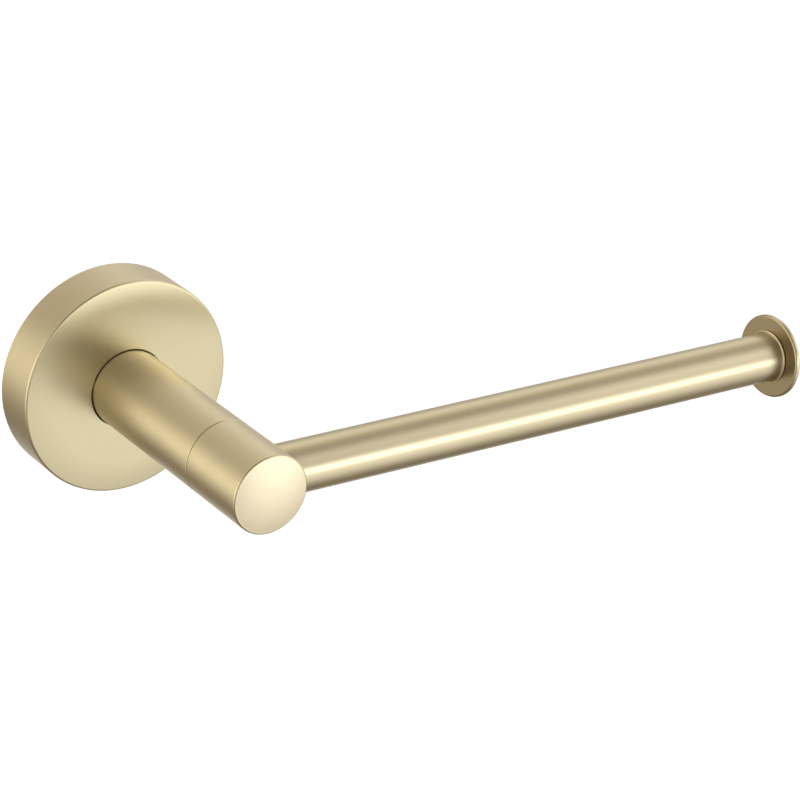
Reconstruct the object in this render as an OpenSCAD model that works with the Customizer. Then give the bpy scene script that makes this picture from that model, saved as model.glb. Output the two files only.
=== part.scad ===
// Wall-mounted toilet paper holder: a round wall cover, a two-piece post and an arm that lifts on a pivot.
//
// The origin is on the wall plane at the post's axis. The post points away from the wall along -Y,
// the arm runs along +X, and +Z is up. Every piece is drawn upright along its own axis first, and
// on_post() or on_arm() lays it down, so a height on the post is a distance from the wall, and a
// height on the arm is a distance from the post's axis.

/* [Wall cover] */
// Outside diameter of the wall cover
cover_d = 56; // [54:0.5:60]
// How far the cover's face stands off the wall
cover_depth = 12.8; // [12:0.1:16]
// Sheet thickness of the cover
cover_wall = 1.2; // [1:0.1:1.5]
// Rounding of the cover's front edge
cover_round = 0.6; // [0.4:0.1:1]
// How far the cover's face falls away towards its edge
cover_crown = 0.45; // [0.2:0.05:0.6]

/* [Post] */
// Outside diameter of the post
post_d = 20; // [19.5:0.1:21]
// Wall thickness of the post sleeve
post_wall = 1.2; // [1:0.1:1.4]
// Distance from the wall to the seam between sleeve and pivot head
seam_at = 57; // [55:0.5:58]
// Distance from the wall to the rim of the domed end
post_length = 78; // [77:0.5:82]
// Height of the dome on the post's end
dome_h = 1.2; // [0.6:0.1:2]
// Rounding of the rim round the dome
dome_round = 0.5; // [0.3:0.1:0.8]

/* [Arm] */
// Outside diameter of the arm
arm_d = 12.8; // [12:0.1:13.2]
// Wall thickness of the arm tube
arm_wall = 1; // [0.8:0.1:1.2]
// Length from the post's axis to the end disc
arm_length = 161; // [140:1:180]
// Diameter of the end disc
disc_d = 22; // [18:0.5:26]
// Thickness of the end disc
disc_t = 1.5; // [1.2:0.1:3]

/* [Pivot] */
// How far the arm lifts from level, in degrees
lift_angle = 90; // [60:5:100]
// Diameter of the shoulder that the arm turns on
shoulder_d = 8; // [7.6:0.1:8.2]

/* [Wall bracket] */
// Distance between the two wall screws
screw_spacing = 34; // [33:0.5:36]
// Width of the slots for the wall screws
slot_w = 4.5; // [4:0.1:5]
// Length of those slots from end to end
slot_l = 8; // [6:0.5:9]

/* [Hidden] */
$fn = 96;

eps = 0.1;              // overshoot of a cut past the face that it opens
hex = 6;                // $fn of a hexagon
edge = 0.25;            // chamfer on hidden turned edges
fine_edge = 0.1;        // chamfer on edges that are seen
seam_gap = 0.2;         // open line between two outside pieces
slip_gap = 0.05;        // clearance of a slip fit, and of faces that turn on each other
run_gap = 0.04;         // radial clearance of a running fit
m5_r = 2.5;             // outside radius of an M5 thread
m6_r = 3;               // outside radius of an M6 thread
tap_room = 0.7;         // depth of a tapped hole beyond its screw

cover_r = cover_d / 2;
cover_bore_r = cover_r - cover_wall;
crown_start = 20;       // the cover's face is flat out to this radius
cover_bore_round = 0.8;
cover_gap = 0.25;       // open ring between the cover and the post
post_r = post_d / 2;
post_bore_r = post_r - post_wall;
arm_r = arm_d / 2;
arm_bore_r = arm_r - arm_wall;
arm_at = (seam_at + post_length) / 2 + 0.5;     // distance from the wall to the arm's axis

// Wall bracket: a plate with a raised rim, four ribs and a hollow spigot
bracket_r = cover_bore_r - 0.6;
bracket_t = 2.5;
rim_h = 5.2;
rim_w = 3.6;
rib_w = 1.6;
rib_h = 1.8;
spigot_r = 6.5;
spigot_end = 17;
spigot_core_r = 3.6;
spigot_core_end = 13;
o_ring_r = 0.9;         // radius of the ring's round section
o_ring_centre_r = cover_bore_r - o_ring_r - slip_gap;
o_ring_groove_w = 2.2;

// Socket that seats the sleeve on the spigot, and the screw that holds it there
sleeve_start = bracket_t + 0.1;
socket_end = 17.6;
set_screw_at = 8;
set_screw_top = post_r - 0.25;
set_screw_tip = 5.6;    // distance of the cone's tip from the post's axis
set_screw_key = 2.5;

// Pivot, built back from the face where the head bears on the front bush
thrust_face = seam_at - 4.2;
shoulder_r = shoulder_d / 2;
shoulder_l = 20;
shoulder_start = thrust_face - shoulder_l;
bolt_head_r = 6.5;
bolt_head_h = 5.5;
bolt_key = 4;
bolt_end = thrust_face + 8;
bush_r = 5;
bush_l = 7;
flange_r = 6;
flange_t = 1;
plug_front = thrust_face - flange_t - slip_gap;
plug_rear = shoulder_start + 3.1;
washer_r = 7.5;
washer_t = 1;
spring_t = 0.4;

// Stop pin, and the notch in the head's spigot that it runs in
pin_r = 1;
pin_path_r = flange_r + pin_r + 0.3;
pin_angle = 270;
pin_depth = 3;
pin_end = seam_at - 1.2;
hub_r = pin_path_r - pin_r - 0.1;
head_spigot_r = post_bore_r - 0.1;
pin_play = asin((pin_r + 0.03) / pin_path_r);   // angle from the pin's centre to the notch's wall

// Arm, from the floor of its socket in the head to its end disc
arm_seat = 6.5;
stud_start = -1.5;
stud_end = 15;
stud_key = 3;
insert_l = 12;
arm_tube_end = arm_length - 0.15;
arm_flare = 0.55;      // the tube's end widens by this much at the disc
flare_rim = 0.2;       // straight stretch at the flare's widest
pilot_h = 1.4;
pilot_r = arm_bore_r - slip_gap;
tip_insert_end = arm_length - pilot_h - 0.2;
disc_thread_l = 10;
disc_round = 0.3;

brass = "#c9b57e";
zinc = "#9a9c9f";
steel = "#b4b6b8";
nylon = "#e6e2d6";
rubber = "#262626";

// Lays a piece down along the post.
module on_post() {
    rotate([90, 0, 0]) children();
}

// Lays a piece down along the arm.
module on_arm() {
    translate([0, -arm_at, 0]) rotate([0, 90, 0]) children();
}

// Half section of a disc whose far corner is rounded.
module round_section(r, h, round) {
    square([r - round, h]);
    square([r, h - round]);
    translate([r - round, h - round]) circle(round);
}

// Half section of the cover's outside: a flat face that falls away in a wide arc, and a rounded edge.
module crowned_section() {
    edge_r = cover_r - cover_round;
    run = edge_r - crown_start;
    crown_r = (run * run + cover_crown * cover_crown) / (2 * cover_crown);
    edge_h = cover_depth - crown_r + sqrt(pow(crown_r - cover_round, 2) - run * run);
    meet = run * crown_r / (crown_r - cover_round);     // where the wide arc runs into the edge's
    square([crown_start, cover_depth]);
    square([cover_r, edge_h]);
    intersection() {
        translate([crown_start, cover_depth - crown_r]) circle(crown_r);
        translate([crown_start, 0]) square([meet, cover_depth]);
    }
    translate([edge_r, edge_h]) circle(cover_round);
}

// Cylinder between two heights, with a chamfer on both ends.
module turned(r, from, to, chamfer = edge) {
    translate([0, 0, from]) rotate_extrude() polygon([
        [0, 0], [r - chamfer, 0], [r, chamfer],
        [r, to - from - chamfer], [r - chamfer, to - from], [0, to - from]
    ]);
}

// The same with a bore right through it.
module tube(r, bore_r, from, to, chamfer = edge) {
    difference() {
        turned(r, from, to, chamfer);
        translate([0, 0, from - eps]) cylinder(r = bore_r, h = to - from + 2 * eps);
    }
}

// Hole from one height up to another, closed by a drill's cone.
module drilled(r, from, to) {
    translate([0, 0, from]) cylinder(r = r, h = to - from);
    translate([0, 0, to]) cylinder(r1 = r, r2 = eps, h = r * 0.6);
}

// Hexagon socket for a key, sunk downwards from a height.
module key_socket(across_flats, top, depth) {
    translate([0, 0, top - depth]) cylinder(d = across_flats / cos(30), h = depth + eps, $fn = hex);
}

// Hole for the set screw, from the post's axis out through its underside.
module set_screw_hole() {
    translate([0, 0, set_screw_at]) rotate([90, 0, 0]) cylinder(r = m5_r, h = post_r + eps);
}

// ---- Fixed to the wall ----

// Half section of the plate, its rim with the ring's groove, and the spigot with its V groove.
module bracket_section() {
    v_r = set_screw_tip - slip_gap;
    v_half = spigot_r - v_r + eps;
    difference() {
        union() {
            square([bracket_r, bracket_t]);
            translate([bracket_r - rim_w, 0]) square([rim_w, rim_h]);
            polygon([
                [0, 0], [spigot_r, 0], [spigot_r, spigot_end - 1],
                [spigot_r - 1, spigot_end], [0, spigot_end]
            ]);
        }
        translate([-eps, -eps]) square([spigot_core_r + eps, spigot_core_end + eps]);
        translate([o_ring_centre_r - o_ring_r - slip_gap, (rim_h - o_ring_groove_w) / 2])
            square([rim_w, o_ring_groove_w]);
        polygon([
            [v_r, set_screw_at],
            [spigot_r + eps, set_screw_at + v_half],
            [spigot_r + eps, set_screw_at - v_half]
        ]);
    }
}

module bracket_ribs() {
    start = post_r + 0.6;
    for (a = [45:90:315])
        rotate(a) translate([start, -rib_w / 2, bracket_t - eps])
            cube([bracket_r - rim_w / 2 - start, rib_w, rib_h + eps]);
}

module screw_slot() {
    run = (slot_l - slot_w) / 2;
    translate([0, 0, -eps]) {
        for (x = [-run, run]) translate([x, 0, 0]) cylinder(d = slot_w, h = bracket_t + 2 * eps);
        translate([-run, -slot_w / 2, 0]) cube([2 * run, slot_w, bracket_t + 2 * eps]);
    }
}

module wall_bracket() {
    color(zinc) on_post() difference() {
        union() {
            rotate_extrude() bracket_section();
            bracket_ribs();
        }
        for (side = [-1, 1]) translate([side * screw_spacing / 2, 0, 0]) screw_slot();
    }
}

module bracket_o_ring() {
    color(rubber) on_post() translate([0, 0, rim_h / 2])
        rotate_extrude() translate([o_ring_centre_r, 0]) circle(o_ring_r);
}

module post_sleeve() {
    color(brass) on_post() difference() {
        tube(post_r, post_bore_r, sleeve_start, seam_at - seam_gap / 2, fine_edge);
        set_screw_hole();
    }
}

module post_socket() {
    color(brass) on_post() difference() {
        tube(post_bore_r, spigot_r + slip_gap, sleeve_start, socket_end);
        set_screw_hole();
    }
}

// Grub screw, pointing up into the bracket's V groove.
module post_set_screw() {
    length = set_screw_top - set_screw_tip;
    color(steel) on_post() translate([0, -set_screw_top, set_screw_at]) rotate([-90, 0, 0])
        difference() {
            rotate_extrude() polygon([
                [0, 0], [m5_r - edge, 0], [m5_r, edge], [m5_r, length - m5_r], [0, length]
            ]);
            mirror([0, 0, 1]) key_socket(set_screw_key, 0, 1.6);
        }
}

module bearing_plug() {
    color(brass) on_post() difference() {
        tube(post_bore_r, bush_r, plug_rear, plug_front);
        rotate(pin_angle) translate([pin_path_r, 0, plug_front - pin_depth])
            cylinder(r = pin_r, h = pin_depth + eps);
    }
}

// Flanged bush, with its flange at height 0 and its barrel upwards.
module flanged_bush() {
    difference() {
        union() {
            cylinder(r = flange_r, h = flange_t);
            cylinder(r = bush_r, h = bush_l);
        }
        translate([0, 0, -eps]) cylinder(r = shoulder_r + run_gap, h = bush_l + 2 * eps);
    }
}

module front_bush() {
    color(nylon) on_post() translate([0, 0, plug_front + flange_t]) mirror([0, 0, 1]) flanged_bush();
}

module rear_bush() {
    color(nylon) on_post() translate([0, 0, plug_rear - flange_t]) flanged_bush();
}

module thrust_washer() {
    top = plug_rear - flange_t;
    color(steel) on_post() tube(washer_r, shoulder_r + slip_gap * 3, top - washer_t, top, fine_edge);
}

module stop_pin() {
    color(steel) on_post() rotate(pin_angle) translate([pin_path_r, 0, 0])
        turned(pin_r, plug_front - pin_depth, pin_end, fine_edge * 2);
}

// ---- Slides along the post ----

module wall_cover() {
    hole_r = post_r + cover_gap;
    color(brass) on_post() rotate_extrude() difference() {
        crowned_section();
        translate([-eps, -eps])
            round_section(cover_bore_r + eps, cover_depth - cover_wall + eps, cover_bore_round);
        translate([-eps, -eps]) square([hole_r + eps, cover_depth + 2 * eps]);
        polygon([
            [hole_r - eps, cover_depth - fine_edge - eps],
            [hole_r - eps, cover_depth + eps],
            [hole_r + fine_edge + eps, cover_depth + eps]
        ]);
    }
}

// ---- Turns on the pivot ----

// Half section of the head's outside: a drum with a fine chamfer at the seam, its rounded rim and
// the dome that closes it.
module head_section() {
    start = seam_at + seam_gap / 2;
    dome_r = post_r - dome_round;
    ball_r = (dome_r * dome_r + dome_h * dome_h) / (2 * dome_h);
    difference() {
        translate([0, start]) round_section(post_r, post_length - start, dome_round);
        polygon([
            [post_r - fine_edge - eps, start - eps],
            [post_r + eps, start - eps],
            [post_r + eps, start + fine_edge + eps]
        ]);
    }
    intersection() {
        translate([0, post_length + dome_h - ball_r]) circle(ball_r);
        translate([0, post_length - eps]) square([dome_r, dome_h + 2 * eps]);
    }
}

// A hub with a wider band round the part of it that the stop pin never reaches.
module head_spigot() {
    reach = seam_at + seam_gap / 2 + eps - thrust_face;
    translate([0, 0, thrust_face]) {
        cylinder(r = hub_r, h = reach);
        rotate(pin_angle + pin_play) rotate_extrude(angle = 360 - lift_angle - 2 * pin_play)
            translate([hub_r - eps, 0]) square([head_spigot_r - hub_r + eps, reach]);
    }
}

module pivot_head() {
    color(brass) difference() {
        on_post() {
            rotate_extrude() head_section();
            head_spigot();
        }
        on_post() drilled(m6_r, thrust_face - eps, bolt_end + tap_room);
        on_arm() {
            translate([0, 0, arm_seat]) cylinder(r = arm_r + slip_gap, h = post_r);
            mirror([0, 0, 1]) drilled(m6_r, -arm_seat - eps, tap_room - stud_start);
        }
    }
}

module pivot_bolt() {
    color(steel) on_post() difference() {
        union() {
            turned(bolt_head_r, shoulder_start - bolt_head_h, shoulder_start);
            translate([0, 0, shoulder_start - eps]) cylinder(r = shoulder_r, h = shoulder_l + eps);
            turned(m6_r, thrust_face - eps, bolt_end);
        }
        mirror([0, 0, 1]) key_socket(bolt_key, bolt_head_h - shoulder_start, 3);
    }
}

// Conical spring washer that takes up the pivot's end play.
module disc_spring() {
    low = shoulder_start + slip_gap;
    high = plug_rear - flange_t - washer_t - slip_gap;
    bore_r = shoulder_r + 0.2;
    color(steel) on_post() rotate_extrude() polygon([
        [bore_r, low], [bolt_head_r, high - spring_t], [bolt_head_r, high], [bore_r, low + spring_t]
    ]);
}

// Headless screw that joins the arm to the head.
module arm_stud() {
    color(steel) on_arm() difference() {
        turned(m6_r, stud_start, stud_end);
        key_socket(stud_key, stud_end, stud_key);
    }
}

module arm_root_insert() {
    color(brass) on_arm() tube(arm_bore_r, m6_r, arm_seat, arm_seat + insert_l);
}

// Hollow quarter-round that widens the tube's end towards the disc.
module flare() {
    overlap = arm_wall / 2;
    rotate_extrude() translate([arm_r, arm_tube_end - flare_rim - arm_flare]) difference() {
        translate([-overlap, 0]) square([arm_flare + overlap, arm_flare + flare_rim]);
        translate([arm_flare, 0]) circle(arm_flare);
    }
}

module arm_tube() {
    color(brass) on_arm() {
        tube(arm_r, arm_bore_r, arm_seat, arm_tube_end, fine_edge);
        flare();
    }
}

module arm_tip_insert() {
    color(brass) on_arm() tube(arm_bore_r, m6_r, tip_insert_end - insert_l, tip_insert_end);
}

// Disc with rounded edges, a pilot that centres it in the tube, and a threaded stem.
module end_disc() {
    color(brass) on_arm() {
        rotate_extrude() {
            translate([0, arm_length]) {
                square([disc_d / 2 - disc_round, disc_t]);
                translate([0, disc_round]) square([disc_d / 2, disc_t - 2 * disc_round]);
                for (z = [disc_round, disc_t - disc_round])
                    translate([disc_d / 2 - disc_round, z]) circle(disc_round);
            }
            translate([0, arm_length - pilot_h]) square([pilot_r, pilot_h + eps]);
        }
        turned(m6_r, arm_length - pilot_h - disc_thread_l, arm_length - pilot_h + eps);
    }
}

wall_bracket();
bracket_o_ring();
post_sleeve();
post_socket();
post_set_screw();
bearing_plug();
front_bush();
rear_bush();
thrust_washer();
stop_pin();
wall_cover();
pivot_head();
pivot_bolt();
disc_spring();
arm_stud();
arm_root_insert();
arm_tube();
arm_tip_insert();
end_disc();
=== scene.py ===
"""Looks of the wall-mounted toilet paper holder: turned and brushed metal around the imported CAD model.

Lengths inside a shape are millimetres, and place() turns them into metres. A shape is built upright
along +Z: on the post its height is the distance from the wall, and on the arm it is the distance
from the post's axis.
"""

import math

import bmesh
import bpy
from mathutils import Matrix, Vector


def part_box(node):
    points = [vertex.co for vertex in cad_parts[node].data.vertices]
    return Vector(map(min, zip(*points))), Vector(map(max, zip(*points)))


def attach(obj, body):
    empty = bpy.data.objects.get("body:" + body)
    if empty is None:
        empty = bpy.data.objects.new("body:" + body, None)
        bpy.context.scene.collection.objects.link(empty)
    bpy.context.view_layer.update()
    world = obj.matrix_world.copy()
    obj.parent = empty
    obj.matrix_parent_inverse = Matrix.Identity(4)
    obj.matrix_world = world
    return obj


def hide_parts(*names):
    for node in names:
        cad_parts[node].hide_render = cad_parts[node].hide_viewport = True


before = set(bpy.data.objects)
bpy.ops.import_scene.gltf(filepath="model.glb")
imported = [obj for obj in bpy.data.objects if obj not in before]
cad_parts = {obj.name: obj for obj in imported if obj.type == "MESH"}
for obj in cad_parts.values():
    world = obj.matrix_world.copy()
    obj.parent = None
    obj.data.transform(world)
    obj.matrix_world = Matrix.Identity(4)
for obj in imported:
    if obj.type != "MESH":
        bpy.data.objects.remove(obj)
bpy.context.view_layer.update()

MM = 0.001

# ---- Sizes read from the CAD frame ----


def extent(node):
    """Lowest and highest corner of a CAD node, in millimetres."""
    low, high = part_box(node)
    return low / MM, high / MM


cover_low, cover_high = extent("wall_cover")
COVER_R = cover_high.z
COVER_DEPTH = -cover_low.y

sleeve_low, sleeve_high = extent("post_sleeve")
POST_R = sleeve_high.z
SLEEVE_START = -sleeve_high.y
SLEEVE_END = -sleeve_low.y

plug_high = extent("bearing_plug")[1]
POST_BORE_R = plug_high.z
PLUG_START = -plug_high.y

head_low, head_high = extent("pivot_head")
THRUST_FACE = -head_high.y
HEAD_END = -head_low.y

ARM_FLARE = 0.55  # how much the arm's end widens at the disc
tube_low, tube_high = extent("arm_tube")
ARM_R = tube_high.z - ARM_FLARE
ARM_AT = -(tube_low.y + tube_high.y) / 2
ARM_SEAT = tube_low.x
ARM_END = tube_high.x

ARM_BORE_R = extent("arm_root_insert")[1].z

disc_low, disc_high = extent("end_disc")
DISC_R = disc_high.z
DISC_END = disc_high.x
DISC_STEM_START = disc_low.x

bracket_low, bracket_high = extent("wall_bracket")
BRACKET_R = bracket_high.z
SPIGOT_END = -bracket_low.y

ring_low, ring_high = extent("bracket_o_ring")
O_RING_R = (ring_high.y - ring_low.y) / 2
O_RING_AT = -(ring_high.y + ring_low.y) / 2
O_RING_CENTRE_R = ring_high.z - O_RING_R

grub_low, grub_high = extent("post_set_screw")
GRUB_R = (grub_high.x - grub_low.x) / 2
GRUB_AT = -(grub_high.y + grub_low.y) / 2
GRUB_OUTER_END = -grub_low.z
GRUB_LENGTH = grub_high.z - grub_low.z

bolt_low, bolt_high = extent("pivot_bolt")
BOLT_START = -bolt_high.y
BOLT_END = -bolt_low.y
BOLT_HEAD_R = bolt_high.z

stud_low, stud_high = extent("arm_stud")
STUD_R = stud_high.z
STUD_START = stud_low.x
STUD_END = stud_high.x

# Lays a shape down in the frame, and turns millimetres into metres.
ON_POST = Matrix.Scale(MM, 4) @ Matrix.Rotation(math.radians(90), 4, "X")
ON_ARM = (
    Matrix.Scale(MM, 4)
    @ Matrix.Translation((0, -ARM_AT, 0))
    @ Matrix.Rotation(math.radians(90), 4, "Y")
)
ON_GRUB = Matrix.Scale(MM, 4) @ Matrix.Translation((0, -GRUB_AT, -GRUB_OUTER_END))

# ---- Building shapes ----

RING = 192  # points round a large turned piece
SCREW_RING = 48  # points round a screw
ARC_STEP = math.radians(12)  # largest turn between two points of a fillet
SHARP = math.radians(32)  # a sharper edge than this isn't smoothed
WELD = 1e-5


def fillet_arc(last, here, after, radius):
    """Points that round the corner here, between the corners before and after it."""
    to_last = (last - here).normalized()
    to_next = (after - here).normalized()
    half = to_last.angle(to_next) / 2
    centre = here + (to_last + to_next).normalized() * radius / math.sin(half)
    start = here + to_last * radius / math.tan(half) - centre
    end = here + to_next * radius / math.tan(half) - centre
    sweep = -start.angle_signed(end)
    steps = max(3, math.ceil(abs(sweep) / ARC_STEP))
    turns = [Matrix.Rotation(sweep * i / steps, 2) for i in range(steps + 1)]
    return [tuple(centre + turn @ start) for turn in turns]


def rounded(*corners):
    """Outline through corners (r, h) or (r, h, fillet radius)."""
    outline = []
    places = [Vector(corner[:2]) for corner in corners]
    for i, corner in enumerate(corners):
        if len(corner) == 2:
            outline.append(corner)
        else:
            after = places[(i + 1) % len(corners)]
            outline += fillet_arc(places[i - 1], places[i], after, corner[2])
    return outline


def circle_arc(r, start, end, steps, centre=(0, 0)):
    """Points on an arc of radius r between two angles in degrees."""
    turns = [math.radians(start + (end - start) * i / steps) for i in range(steps + 1)]
    return [(centre[0] + r * math.cos(a), centre[1] + r * math.sin(a)) for a in turns]


def hexagon(across_flats):
    return circle_arc(across_flats / 2 / math.cos(math.radians(30)), 0, 300, 5)


def stadium(length, width):
    """Outline of a slot with round ends, along x."""
    run = (length - width) / 2
    right = circle_arc(width / 2, -90, 90, 16, (run, 0))
    return right + circle_arc(width / 2, 90, 270, 16, (-run, 0))


def new_object(name, points, faces):
    """Object with a closed mesh, its doubled points joined and its faces looking outwards."""
    mesh = bpy.data.meshes.new(name)
    mesh.from_pydata(points, [], faces)
    shape = bmesh.new()
    shape.from_mesh(mesh)
    bmesh.ops.remove_doubles(shape, verts=shape.verts, dist=WELD)
    bmesh.ops.recalc_face_normals(shape, faces=shape.faces)
    shape.to_mesh(mesh)
    shape.free()
    obj = bpy.data.objects.new(name, mesh)
    bpy.context.scene.collection.objects.link(obj)
    return obj


def lathe(name, outline, ring=RING, loop=False):
    """Solid turned from an outline of (r, h). A loop goes back from its last point to its first."""
    points, rings, faces = [], [], []
    for r, h in outline:
        count = 1 if r < WELD else ring
        rings.append(range(len(points), len(points) + count))
        for i in range(count):
            a = 2 * math.pi * i / ring
            points.append((r * math.cos(a), r * math.sin(a), h))
    pairs = list(zip(rings, rings[1:]))
    if loop:
        pairs.append((rings[-1], rings[0]))
    for low, high in pairs:
        for i in range(ring):
            n = (i + 1) % ring
            corners = [
                low[i % len(low)], low[n % len(low)], high[n % len(high)], high[i % len(high)]
            ]
            corners = list(dict.fromkeys(corners))
            if len(corners) > 2:
                faces.append(corners)
    return new_object(name, points, faces)


def loft(name, sections):
    """Solid through sections (h, outline), whose outlines have the same number of (x, y) points."""
    count = len(sections[0][1])
    points = [(x, y, h) for h, outline in sections for x, y in outline]
    faces = [list(range(count)), list(range(len(points) - count, len(points)))]
    for start in range(0, len(points) - count, count):
        for i in range(count):
            n = (i + 1) % count
            faces.append([start + i, start + n, start + n + count, start + i + count])
    return new_object(name, points, faces)


def prism(name, outline, low, high):
    return loft(name, [(low, outline), (high, outline)])


def threaded(name, major_r, pitch, low, high, envelope):
    """Rod with a helical thread, nowhere wider than envelope(h)."""
    depth = 0.61 * pitch
    rows = math.ceil((high - low) / pitch * 12)
    sections = []
    for j in range(rows + 1):
        h = low + (high - low) * j / rows
        outline = []
        for i in range(SCREW_RING):
            a = 2 * math.pi * i / SCREW_RING
            phase = (h / pitch - i / SCREW_RING) % 1
            flank = min(1, max(0, 2.4 * abs(phase - 0.5) - 0.12))
            r = min(envelope(h), major_r - depth * flank)
            outline.append((r * math.cos(a), r * math.sin(a)))
        sections.append((h, outline))
    return loft(name, sections)


def chamfered_ends(end_r, low, high):
    """Envelope of a screw with 45-degree chamfers down to end_r."""
    return lambda h: end_r + min(h - low, high - h)


def combine(obj, other, how):
    """Joins a second solid to obj or cuts it out of obj, and deletes the second one."""
    tool = obj.modifiers.new(how, "BOOLEAN")
    tool.operation = how
    tool.solver = "EXACT"
    tool.object = other
    bpy.context.view_layer.update()
    ready = obj.evaluated_get(bpy.context.evaluated_depsgraph_get())
    result = bpy.data.meshes.new_from_object(ready)
    before = obj.data
    obj.modifiers.clear()
    obj.data = result
    bpy.data.meshes.remove(before)
    bpy.data.objects.remove(other)
    return obj


def cut(obj, *others):
    for other in others:
        combine(obj, other, "DIFFERENCE")
    return obj


def join(obj, *others):
    for other in others:
        combine(obj, other, "UNION")
    return obj


def moved(obj, *steps):
    """Applies matrices to a shape in turn."""
    for step in steps:
        obj.data.transform(step)
    return obj


def shift(x=0, y=0, z=0):
    return Matrix.Translation((x, y, z))


def turn(degrees, axis):
    return Matrix.Rotation(math.radians(degrees), 4, axis)


def tidy(obj):
    """Welds the slivers that a cut may leave."""
    shape = bmesh.new()
    shape.from_mesh(obj.data)
    bmesh.ops.remove_doubles(shape, verts=shape.verts, dist=0.0005)
    bmesh.ops.dissolve_degenerate(shape, edges=shape.edges, dist=0.0005)
    shape.to_mesh(obj.data)
    shape.free()


def place(obj, where, body, node, slot, *materials):
    """Puts a finished shape in the frame, in place of its CAD node, with smooth shading."""
    tidy(obj)
    mesh = obj.data
    mesh.name = obj.name
    mesh.transform(where)
    mesh.materials.clear()
    for material in materials:
        mesh.materials.append(material)
    mesh.shade_smooth()
    mesh.set_sharp_from_angle(angle=SHARP)
    smoother = obj.modifiers.new("weighted_normals", "WEIGHTED_NORMAL")
    smoother.keep_sharp = True
    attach(obj, body)
    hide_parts(node)
    return obj


def paint_faces(obj, index, wanted):
    """Gives the material of that index to every face that wanted(face) picks."""
    for face in obj.data.polygons:
        face.material_index = index if wanted(face) else 0


# ---- Materials ----


class Material:
    """A material being built, with short ways to add procedural detail."""

    def __init__(self, name, metallic=0.0):
        self.material = bpy.data.materials.new(name)
        self.material.use_nodes = True
        self.tree = self.material.node_tree
        self.shader = self.tree.nodes["Principled BSDF"]
        self.shader.inputs["Metallic"].default_value = metallic
        self.position = self.node("ShaderNodeTexCoord").outputs["Object"]
        self.relief = None

    def node(self, kind, **settings):
        made = self.tree.nodes.new(kind)
        for key, value in settings.items():
            setattr(made, key, value)
        return made

    def link(self, source, target):
        self.tree.links.new(source, target)

    def noise(self, scale, detail=3.0, roughness=0.6, offset=0.0):
        """Noise with a scale of its own along each axis, in features per metre."""
        stretch = self.node("ShaderNodeMapping")
        stretch.inputs["Scale"].default_value = scale
        stretch.inputs["Location"].default_value = (offset, offset, offset)
        self.link(self.position, stretch.inputs["Vector"])
        noise = self.node("ShaderNodeTexNoise")
        noise.inputs["Scale"].default_value = 1
        noise.inputs["Detail"].default_value = detail
        noise.inputs["Roughness"].default_value = roughness
        self.link(stretch.outputs["Vector"], noise.inputs["Vector"])
        return noise.outputs["Fac"]

    def spread(self, value, low, high, low_in=0.3, high_in=0.7):
        """A noise value spread between two numbers."""
        spread = self.node("ShaderNodeMapRange")
        spread.inputs["From Min"].default_value = low_in
        spread.inputs["From Max"].default_value = high_in
        spread.inputs["To Min"].default_value = low
        spread.inputs["To Max"].default_value = high
        self.link(value, spread.inputs["Value"])
        return spread.outputs["Result"]

    def total(self, *values):
        """Sum of values."""
        result = values[0]
        for value in values[1:]:
            adder = self.node("ShaderNodeMath", operation="ADD")
            self.link(result, adder.inputs[0])
            self.link(value, adder.inputs[1])
            result = adder.outputs["Value"]
        return result

    def colour(self, factor, first, second):
        mix = self.node("ShaderNodeMix", data_type="RGBA")
        for key, shade in (("A", first), ("B", second)):
            socket = next(s for s in mix.inputs if s.name == key and s.type == "RGBA")
            socket.default_value = (*shade, 1)
        self.link(factor, mix.inputs["Factor"])
        result = next(s for s in mix.outputs if s.type == "RGBA")
        self.link(result, self.shader.inputs["Base Color"])

    def bump(self, height, depth):
        """Relief of a given depth in metres, on top of any relief that is there."""
        bump = self.node("ShaderNodeBump")
        bump.inputs["Distance"].default_value = depth
        bump.inputs["Strength"].default_value = 1
        self.link(height, bump.inputs["Height"])
        if self.relief:
            self.link(self.relief, bump.inputs["Normal"])
        self.relief = bump.outputs["Normal"]
        self.link(self.relief, self.shader.inputs["Normal"])


GOLD = (0.87, 0.775, 0.54)
# Darker copy of the gold for the end disc's inner face: painted shade, the same finish as the rest.
SHADED_DISC_GOLD = (0.445, 0.365, 0.243)
TONE = 0.94  # how much darker the low points of the brushing are
LINES_ROUND = 0.25  # anisotropic turn for brush lines that run round an axis
LINES_ALONG = 0.0  # the same for lines that run along it

# Scales of brush lines, in features per metre: fine across the lines, long along them.
FINE = 2600
LONG = 50


def brushed_gold(name, base, lines, roughness, anisotropy, axis, lines_turn, depth):
    """Satin gold with brush lines whose scale along each axis is given."""
    gold = Material(name, metallic=1.0)
    shader = gold.shader
    shader.inputs["Anisotropic"].default_value = anisotropy
    shader.inputs["Anisotropic Rotation"].default_value = lines_turn
    streaks = gold.noise(lines, detail=4, roughness=0.65)
    scratches = gold.noise([3.1 * scale for scale in lines], detail=2, offset=7.3)
    clouds = gold.noise((70, 70, 70), detail=3, offset=2.1)
    tone = gold.total(
        gold.spread(streaks, 0, 0.6), gold.spread(clouds, 0, 0.4),
    )
    gold.colour(tone, [TONE * share for share in base], base)
    roughnesses = gold.total(
        gold.spread(streaks, roughness - 0.015, roughness + 0.015),
        gold.spread(clouds, -0.01, 0.01),
        gold.spread(scratches, -0.04, 0.0, 0.24, 0.32),
    )
    gold.link(roughnesses, shader.inputs["Roughness"])
    gold.bump(streaks, depth)
    direction = gold.node("ShaderNodeTangent", direction_type="RADIAL", axis=axis)
    gold.link(direction.outputs["Tangent"], shader.inputs["Tangent"])
    return gold.material


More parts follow.
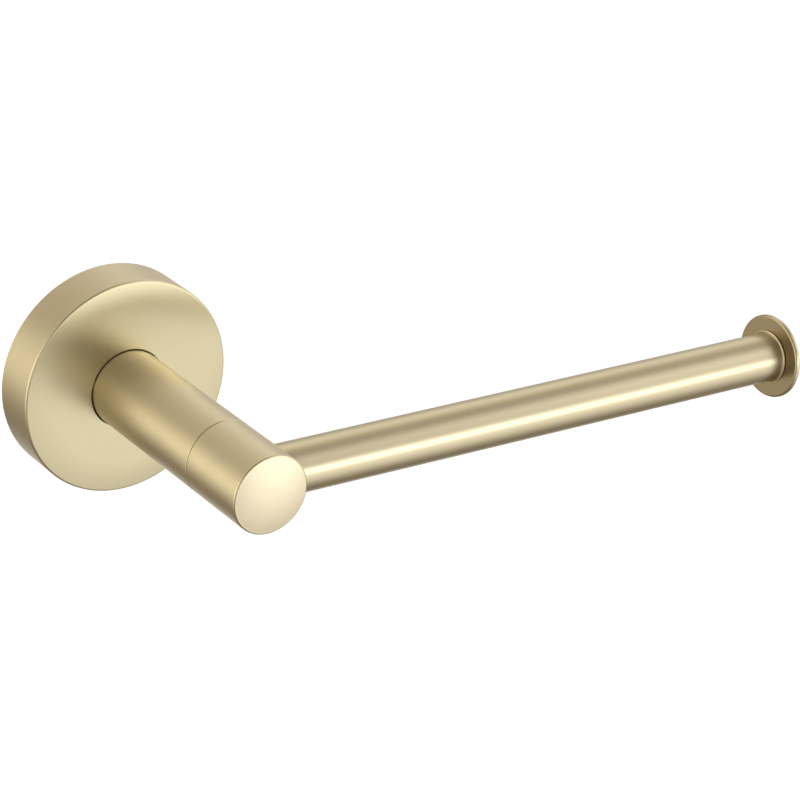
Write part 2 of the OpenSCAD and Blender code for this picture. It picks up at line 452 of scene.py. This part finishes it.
def grained(name, metallic, dark, light, roughness, grain, depth):
    """Turned, cast, rolled or moulded surface, with grain features per metre on each axis."""
    surface = Material(name, metallic)
    marks = surface.noise(grain, detail=4, roughness=0.7)
    clouds = surface.noise((110, 110, 110), detail=2, offset=4.7)
    tone = surface.total(surface.spread(marks, 0, 0.7), surface.spread(clouds, 0, 0.3))
    surface.colour(tone, dark, light)
    roughnesses = surface.total(
        surface.spread(marks, roughness - 0.05, roughness + 0.05),
        surface.spread(clouds, -0.03, 0.03),
    )
    surface.link(roughnesses, surface.shader.inputs["Roughness"])
    surface.bump(marks, depth)
    return surface.material


ROUND_POST = (LONG, FINE, LONG)
ROUND_ARM = (FINE, LONG, LONG)
UP_FACE = (FINE, LONG, LONG)
UP_DISC = (LONG, FINE, LONG)
# The post, cover face, arm and dome share one gold finish. These copies are lit and shaded versions of it,
# each painted lighter or darker to match how bright that surface looks under the lights. The dome's much
# lighter copy is painted light.
POST_GOLD = [0.92 * share for share in GOLD]
FACE_GOLD = (0.782, 0.715, 0.48)
ARM_GOLD = (0.70, 0.63, 0.435)
LIT_DOME_GOLD = (0.98, 0.89, 0.67)
post_gold = brushed_gold(
    "gold_post", POST_GOLD, ROUND_POST, 0.30, 0.55, "Y", LINES_ROUND, 0.0000008
)
face_gold = brushed_gold(
    "gold_cover_face", FACE_GOLD, UP_FACE, 0.36, 0.7, "Z", LINES_ALONG, 0.0000015
)
dome_gold = brushed_gold("gold_dome", LIT_DOME_GOLD, UP_FACE, 0.5, 0.0, "Z", LINES_ALONG, 0.0000004)
arm_gold = brushed_gold("gold_arm", ARM_GOLD, ROUND_ARM, 0.26, 0.7, "X", LINES_ROUND, 0.0000004)
# The disc's inner face takes the darker gold: painted shade.
disc_gold = brushed_gold("gold_disc", SHADED_DISC_GOLD, UP_DISC, 0.28, 0.3, "Z", LINES_ALONG, 0.000002)

BRASS_DARK, BRASS_LIGHT = (0.62, 0.46, 0.20), (0.80, 0.62, 0.32)
turned_brass = grained(
    "turned_brass_post", 1.0, BRASS_DARK, BRASS_LIGHT, 0.28, (80, 6000, 80), 0.000002
)
arm_brass = grained(
    "turned_brass_arm", 1.0, BRASS_DARK, BRASS_LIGHT, 0.28, (6000, 80, 80), 0.000002
)
screw_steel = grained(
    "zinc_plated_steel", 1.0, (0.50, 0.50, 0.51), (0.68, 0.68, 0.69), 0.3, (900, 900, 900), 0.000002
)
cast_zinc = grained(
    "cast_zinc", 1.0, (0.42, 0.43, 0.44), (0.58, 0.59, 0.60), 0.5, (1400, 1400, 1400), 0.00001
)
nylon = grained(
    "nylon", 0.0, (0.78, 0.75, 0.66), (0.88, 0.86, 0.79), 0.45, (700, 700, 700), 0.000004
)
rubber = grained(
    "rubber", 0.0, (0.012, 0.012, 0.012), (0.035, 0.035, 0.035), 0.55, (2500, 2500, 2500), 0.00001
)

# ---- Cover and post ----

COVER_WALL = 1.2
COVER_ROUND = 0.6
CROWN_START = 20  # the cover's face is flat out to this radius
CROWN = 0.45  # and falls away by this much towards its edge
COVER_GAP = 0.25  # open ring between the cover and the post
EDGE = 0.12  # rounding of an edge that is seen
HOLE_EDGE = 0.12  # rounding of the hole in the cover's face
BROKEN = 0.25  # rounding of a hidden turned edge
SEAM = 0.2
SEAM_EDGE = 0.2  # rounding of the sleeve's edge at the seam


def crowned_edge():
    """From the cover's side over its rounded edge and the wide arc to the flat of its face."""
    edge_r = COVER_R - COVER_ROUND
    run = edge_r - CROWN_START
    crown_r = (run**2 + CROWN**2) / (2 * CROWN)
    edge_h = COVER_DEPTH - crown_r + math.sqrt((crown_r - COVER_ROUND)**2 - run**2)
    tilt = math.degrees(math.acos(run / (crown_r - COVER_ROUND)))
    edge = circle_arc(COVER_ROUND, 0, tilt, 10, (edge_r, edge_h))
    crown = circle_arc(crown_r, tilt, 90, 14, (CROWN_START, COVER_DEPTH - crown_r))
    return edge + crown[1:]


def make_cover():
    bore_r = COVER_R - COVER_WALL
    hole_r = POST_R + COVER_GAP
    inner_face = COVER_DEPTH - COVER_WALL
    inside = rounded(
        (CROWN_START, COVER_DEPTH),
        (hole_r, COVER_DEPTH, HOLE_EDGE),
        (hole_r, inner_face, EDGE),
        (bore_r, inner_face, 0.8),
        (bore_r, 0, EDGE),
        (COVER_R, 0, EDGE),
        (COVER_R, COVER_DEPTH),
    )[1:-1]
    cover = lathe("cover_shell", crowned_edge() + inside, loop=True)
    place(cover, ON_POST, "cover", "wall_cover", "satin_brass", post_gold, face_gold)
    paint_faces(cover, 1, lambda face: face.normal.y < -0.8)


def make_sleeve():
    sleeve = lathe("post_tube", rounded(
        (POST_R, SLEEVE_START, EDGE),
        (POST_R, SLEEVE_END, SEAM_EDGE),
        (POST_BORE_R, SLEEVE_END, EDGE),
        (POST_BORE_R, SLEEVE_START, EDGE),
    ), loop=True)
    countersink = 0.4
    hole = lathe("set_screw_hole", [
        (0, 0), (GRUB_R, 0), (GRUB_R, POST_R - countersink),
        (GRUB_R + countersink * 2, POST_R + countersink), (0, POST_R + countersink),
    ], SCREW_RING)
    moved(hole, turn(90, "X"), shift(z=GRUB_AT))
    cut(sleeve, hole)
    place(sleeve, ON_POST, "base", "post_sleeve", "satin_brass", post_gold)


DOME_H = 1.2
RIM_ROUND = 0.5
HUB_R = 6.2
HEAD_BAND_R = POST_BORE_R - 0.1
NOTCH_START, NOTCH_END = 172.0, 278.2  # the stop pin's notch in the band, in degrees round the post
M6_PITCH = 1.0
TAP_R = STUD_R
DRILL_CONE = 0.6  # depth of a drilled hole's conical end, as a share of its radius
THREAD_TAPER = 0.7  # how much narrower a thread is at its ends
TAP_DEPTH = 0.7  # how far a tapped hole goes on past its screw


def drilled(name, low, high):
    """Cutter for a tapped hole that ends in a drill's cone."""
    return lathe(name, [(0, low), (TAP_R, low), (TAP_R, high), (0, high + TAP_R * DRILL_CONE)], SCREW_RING)


def head_drum():
    """Drum with a rounded rim and a dome, and behind the seam the hub that turns in the sleeve."""
    seam = SLEEVE_END + SEAM
    rim = HEAD_END - DOME_H
    dome_r = POST_R - RIM_ROUND
    ball_r = (dome_r**2 + DOME_H**2) / (2 * DOME_H)
    half_angle = math.degrees(math.asin(dome_r / ball_r))
    dome = circle_arc(ball_r, 90 - half_angle, 90, 24, (0, HEAD_END - ball_r))
    side = rounded(
        (0, THRUST_FACE), (HUB_R, THRUST_FACE, EDGE), (HUB_R, seam),
        (POST_R, seam, EDGE), (POST_R, rim, RIM_ROUND), (0, rim),
    )[:-1]
    return lathe("post_head", side + dome[1:-1] + [(0, HEAD_END)])


def make_head():
    drum = head_drum()
    seam = SLEEVE_END + SEAM
    sweep = NOTCH_START + 360 - NOTCH_END
    outer = circle_arc(HEAD_BAND_R, NOTCH_END - 360, NOTCH_END - 360 + sweep, 96)
    inner = circle_arc(HUB_R - 1, NOTCH_END - 360 + sweep, NOTCH_END - 360, 96)
    join(drum, prism("head_band", outer + inner, THRUST_FACE + 0.02, seam + 0.3))
    arm_socket = lathe("arm_socket", [
        (0, ARM_SEAT), (ARM_R + 0.05, ARM_SEAT), (ARM_R + 0.05, POST_R + 1), (0, POST_R + 1),
    ])
    stud_hole = drilled("stud_hole", -ARM_SEAT - 0.1, -STUD_START + TAP_DEPTH)
    moved(arm_socket, turn(90, "Y"), shift(z=ARM_AT))
    moved(stud_hole, turn(-90, "Y"), shift(z=ARM_AT))
    bolt_hole = drilled("bolt_hole", THRUST_FACE - 0.1, BOLT_END + TAP_DEPTH)
    cut(drum, arm_socket, stud_hole, bolt_hole)
    place(drum, ON_POST, "arm", "pivot_head", "satin_brass", post_gold, dome_gold)
    dome_edge = -(HEAD_END - DOME_H * 0.98) * MM
    # The dome gets the lighter gold: painted light.
    paint_faces(drum, 1, lambda face: face.center.y < dome_edge)


# ---- Arm ----


FLARE_RIM = 0.2  # straight stretch at the arm's widened end
FLARE_EDGE = 0.08  # rounding of that end's outer edge


def make_arm():
    flare_start = ARM_END - FLARE_RIM - ARM_FLARE
    flare = circle_arc(ARM_FLARE, 180, 90, 8, (ARM_R + ARM_FLARE, flare_start))
    tube = lathe("arm_bar", rounded(
        (ARM_R, ARM_SEAT, EDGE),
        *flare,
        (ARM_R + ARM_FLARE, ARM_END, FLARE_EDGE),
        (ARM_BORE_R, ARM_END, EDGE),
        (ARM_BORE_R, ARM_SEAT, EDGE),
    ), loop=True)
    place(tube, ON_ARM, "arm", "arm_tube", "satin_brass", arm_gold)


DISC_T = 1.5
DISC_ROUND = 0.6
PILOT_H = 1.4
THREAD_ROOM = 0.02  # how far a screw's crests stay inside its tapped hole


def make_disc():
    inner_face = DISC_END - DISC_T
    pilot_start = inner_face - PILOT_H
    pilot_r = ARM_BORE_R - 0.05
    disc = lathe("arm_end_disc", rounded(
        (0, pilot_start), (pilot_r, pilot_start, EDGE), (pilot_r, inner_face),
        (DISC_R, inner_face, DISC_ROUND), (DISC_R, DISC_END, DISC_ROUND), (0, DISC_END),
    ))
    stem_end = inner_face - PILOT_H / 2
    join(disc, threaded(
        "disc_stem", STUD_R - THREAD_ROOM, M6_PITCH, DISC_STEM_START, stem_end,
        lambda h: STUD_R - THREAD_TAPER + (h - DISC_STEM_START),
    ))
    place(disc, ON_ARM, "arm", "end_disc", "satin_brass", arm_gold, disc_gold)
    # The inner face, which looks back at the post, gets the darker gold: painted shade.
    paint_faces(disc, 1, lambda face: face.normal.x < -0.9)


# ---- Fixings ----


def make_grub_screw():
    tip_r = 0.3

    def envelope(h):
        return min(GRUB_R - 0.35 + h, tip_r + GRUB_LENGTH - h)

    screw = threaded("grub_screw", GRUB_R - 0.04, 0.8, 0, GRUB_LENGTH, envelope)
    cut(screw, prism("grub_key", hexagon(2.5), -0.1, 1.6))
    place(screw, ON_GRUB, "base", "post_set_screw", "screw_steel", screw_steel)


def make_pivot_bolt():
    head_end = PLUG_START - 3.1
    shoulder_r = 4
    undercut_r = 2.3
    undercut = THRUST_FACE + 0.9
    thread_start = undercut - 0.3
    bolt = lathe("shoulder_bolt", rounded(
        (0, BOLT_START), (BOLT_HEAD_R, BOLT_START, 0.4), (BOLT_HEAD_R, head_end, BROKEN),
        (shoulder_r, head_end), (shoulder_r, THRUST_FACE, BROKEN),
        (undercut_r, THRUST_FACE), (undercut_r, undercut), (0, undercut),
    ), 96)
    join(bolt, threaded(
        "bolt_thread", STUD_R - THREAD_ROOM, M6_PITCH, thread_start, BOLT_END,
        chamfered_ends(STUD_R - THREAD_TAPER, thread_start, BOLT_END),
    ))
    cut(bolt, prism("bolt_key", hexagon(4), BOLT_START - 0.1, BOLT_START + 3))
    place(bolt, ON_POST, "arm", "pivot_bolt", "screw_steel", screw_steel)


def make_arm_stud():
    stud = threaded(
        "joining_stud", STUD_R - THREAD_ROOM, M6_PITCH, STUD_START, STUD_END,
        chamfered_ends(STUD_R - THREAD_TAPER, STUD_START, STUD_END),
    )
    cut(stud, prism("stud_key", hexagon(3), STUD_END - 2.5, STUD_END + 0.1))
    place(stud, ON_ARM, "arm", "arm_stud", "screw_steel", screw_steel)


# ---- Wall bracket ----

PLATE_T = 2.5
RIM_H = 5.2
RIM_W = 3.6
SPIGOT_R = 6.5
CORE_R, CORE_END = 3.6, 13
GROOVE_R = O_RING_CENTRE_R - O_RING_R - 0.05
GROOVE_W = 2.2
V_R = 5.55
RIB_START = POST_R + 0.6
SLOT_L, SLOT_W = 8, 4.5
SLOT_AT = 17
CAST = 0.4  # rounding of a cast edge


def bracket_body():
    groove_low = (RIM_H - GROOVE_W) / 2
    groove_high = groove_low + GROOVE_W
    v_half = SPIGOT_R - V_R
    return lathe("bracket_casting", rounded(
        (0, CORE_END), (CORE_R, CORE_END, CAST), (CORE_R, 0, CAST), (BRACKET_R, 0, CAST),
        (BRACKET_R, groove_low, EDGE), (GROOVE_R, groove_low, EDGE),
        (GROOVE_R, groove_high, EDGE), (BRACKET_R, groove_high, EDGE),
        (BRACKET_R, RIM_H, CAST), (BRACKET_R - RIM_W, RIM_H, CAST),
        (BRACKET_R - RIM_W, PLATE_T, CAST), (SPIGOT_R, PLATE_T),
        (SPIGOT_R, GRUB_AT - v_half), (V_R, GRUB_AT), (SPIGOT_R, GRUB_AT + v_half),
        (SPIGOT_R, SPIGOT_END - 1), (SPIGOT_R - 1, SPIGOT_END), (0, SPIGOT_END),
    ))


def bracket_rib(angle):
    """Cast rib with a narrower, rounded top, from near the post out to the rim."""
    section = [(-0.8, 1.5), (0.8, 1.5), (0.72, 4.0), (0.5, 4.3), (-0.5, 4.3), (-0.72, 4.0)]
    rib = prism("rib", section, RIB_START, BRACKET_R - RIM_W / 2)
    lie_down = Matrix(((0, 0, 1, 0), (1, 0, 0, 0), (0, 1, 0, 0), (0, 0, 0, 1)))
    return moved(rib, lie_down, turn(angle, "Z"))


def screw_slot(x):
    wide = stadium(SLOT_L + 2 * CAST, SLOT_W + 2 * CAST)
    narrow = stadium(SLOT_L, SLOT_W)
    slot = loft("slot", [
        (-CAST * 0.5, wide), (CAST * 0.5, narrow),
        (PLATE_T - CAST * 0.5, narrow), (PLATE_T + CAST * 0.5, wide),
    ])
    return moved(slot, shift(x=x))


def ejector_mark(angle):
    """Shallow round print that a die's ejector leaves on the bracket's back."""
    mark = lathe("mark", [(0, -0.1), (1.7, -0.1), (1.5, 0.12), (0, 0.12)], SCREW_RING)
    return moved(mark, shift(x=SLOT_AT), turn(angle, "Z"))


def make_bracket():
    bracket = bracket_body()
    join(bracket, *[bracket_rib(angle) for angle in (45, 135, 225, 315)])
    cut(bracket, *[screw_slot(x) for x in (-SLOT_AT, SLOT_AT)])
    cut(bracket, *[ejector_mark(angle) for angle in (45, 135, 225, 315)])
    place(bracket, ON_POST, "base", "wall_bracket", "cast_zinc", cast_zinc)


def make_o_ring():
    """Rubber ring, a little flattened where the groove and the cover squeeze it."""
    squeeze = 1.05
    section = []
    for x, y in circle_arc(O_RING_R * squeeze, 0, 345, 23):
        flat = max(-O_RING_R, min(O_RING_R, x))
        section.append((O_RING_CENTRE_R + flat, O_RING_AT + y / squeeze))
    ring = lathe("rubber_ring", section, 128, loop=True)
    place(ring, ON_POST, "base", "bracket_o_ring", "ring_rubber", rubber)


make_cover()
make_sleeve()
make_head()
make_arm()
make_disc()
make_grub_screw()
make_pivot_bolt()
make_arm_stud()
make_bracket()
make_o_ring()

# Hidden pieces keep their CAD shape.
HIDDEN = {
    "post_socket": turned_brass, "bearing_plug": turned_brass,
    "front_bush": nylon, "rear_bush": nylon,
    "thrust_washer": screw_steel, "stop_pin": screw_steel, "disc_spring": screw_steel,
    "arm_root_insert": arm_brass, "arm_tip_insert": arm_brass,
}
for node_name, finish in HIDDEN.items():
    hidden_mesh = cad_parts[node_name].data
    hidden_mesh.materials.clear()
    hidden_mesh.materials.append(finish)

# ---- Studio ----

AZIMUTH, ELEVATION, ROLL = -36.89, 24.58, 4.70
CAMERA_AT = (-0.3262, -0.5586, 0.2920)
LENS = 127.7
FLOOR_Z = -0.9
FLOOR_SIZE = 12.0
ROOM = 1.15  # brightness of the white room

AMBIENT = (0.13, 0.09, 0.05)
WHITE, WARM = (1.0, 1.0, 1.0), (1.0, 0.95, 0.8)
# Soft lights round the object: azimuth from +Y towards +X and elevation in degrees, half width and
# half height (as a share of the distance), brightness and tint. Seen by the camera, the flat faces
# mirror the front right, the arm mirrors a ring round X, and the post and the cover's side a ring
# round Y. The last light is for views from the right.
LIGHTS = (
    (150, -20, 0.6, 0.6, 1.1, WHITE),  # front right and low: the cover's face and the domed end
    (150, 0, 0.4, 0.2, 1.7, WHITE),  # front: the bright band along the arm
    (120, 30, 0.4, 0.4, 1.1, WHITE),  # front and high: the arm's upper flank
    (-60, 0, 0.5, 0.5, 1.2, WARM),  # left: the stripe along the post
    (-100, 0, 0.5, 0.5, 1.0, WARM),  # left and forward: the post's shade on the cover's face
    (0, 60, 0.8, 0.5, 0.6, WARM),  # overhead: the upper sides
    (45, 30, 0.4, 0.4, 0.6, WHITE),  # behind right: the post's right side
    (30, -30, 0.4, 0.5, 0.8, WHITE),  # behind and low: the pale outline underneath
    (90, 0, 0.4, 0.4, 0.7, WARM),  # right: the outer face of the end disc
)


def make_camera():
    camera = bpy.data.objects.new("camera", bpy.data.cameras.new("camera"))
    camera.data.lens = LENS
    camera.data.sensor_width = 36
    camera.matrix_world = (
        Matrix.Translation(CAMERA_AT) @ turn(AZIMUTH, "Z") @ turn(90 - ELEVATION, "X")
        @ turn(ROLL, "Z")
    )
    bpy.context.scene.collection.objects.link(camera)
    bpy.context.scene.camera = camera


def make_world():
    """Soft lights that the metal mirrors. The eye and the matt surfaces see a plain white room."""
    world = bpy.data.worlds.new("studio")
    bpy.context.scene.world = world
    world.use_nodes = True
    tree = world.node_tree
    tree.nodes.clear()
    direction = tree.nodes.new("ShaderNodeTexCoord").outputs["Generated"]
    total = tree.nodes.new("ShaderNodeCombineXYZ")
    for socket, value in zip(total.inputs, AMBIENT):
        socket.default_value = value
    total = total.outputs["Vector"]
    for azimuth, elevation, width, height, brightness, tint in LIGHTS:
        facing = turn(-azimuth, "Z") @ turn(elevation, "X")
        local = tree.nodes.new("ShaderNodeMapping")
        local.vector_type = "TEXTURE"
        local.inputs["Location"].default_value = facing @ Vector((0, 1, 0))
        local.inputs["Rotation"].default_value = facing.to_euler()
        local.inputs["Scale"].default_value = (width, 0.8, height)
        tree.links.new(direction, local.inputs["Vector"])
        square = tree.nodes.new("ShaderNodeVectorMath")
        square.operation = "DOT_PRODUCT"
        for socket in square.inputs[:2]:
            tree.links.new(local.outputs["Vector"], socket)
        fading = tree.nodes.new("ShaderNodeMath")
        fading.operation = "POWER"
        fading.inputs[0].default_value = math.exp(-1)
        tree.links.new(square.outputs["Value"], fading.inputs[1])
        adder = tree.nodes.new("ShaderNodeVectorMath")
        adder.operation = "MULTIPLY_ADD"
        tree.links.new(fading.outputs["Value"], adder.inputs[0])
        adder.inputs[1].default_value = [brightness * share for share in tint]
        tree.links.new(total, adder.inputs[2])
        total = adder.outputs["Vector"]
    lights = tree.nodes.new("ShaderNodeBackground")
    tree.links.new(total, lights.inputs["Color"])
    room = tree.nodes.new("ShaderNodeBackground")
    room.inputs["Color"].default_value = (1, 1, 1, 1)
    room.inputs["Strength"].default_value = ROOM
    path = tree.nodes.new("ShaderNodeLightPath")
    mirrored = tree.nodes.new("ShaderNodeMixShader")
    tree.links.new(path.outputs["Is Glossy Ray"], mirrored.inputs[0])
    tree.links.new(room.outputs["Background"], mirrored.inputs[1])
    tree.links.new(lights.outputs["Background"], mirrored.inputs[2])
    output = tree.nodes.new("ShaderNodeOutputWorld")
    tree.links.new(mirrored.outputs["Shader"], output.inputs["Surface"])


def make_floor():
    """Pale floor well below the holder, left out of what the metal mirrors."""
    half = FLOOR_SIZE / 2
    corners = [(-half, -half), (half, -half), (half, half), (-half, half)]
    floor = loft("studio_floor", [(FLOOR_Z - 0.01, corners), (FLOOR_Z, corners)])
    pale = grained(
        "pale_floor", 0.0, (0.93, 0.93, 0.93), (0.96, 0.96, 0.96), 0.8, (3, 3, 3), 0.0001
    )
    floor.data.materials.append(pale)
    floor.visible_glossy = False


make_camera()
make_world()
make_floor()
bpy.context.scene.view_settings.view_transform = "Standard"
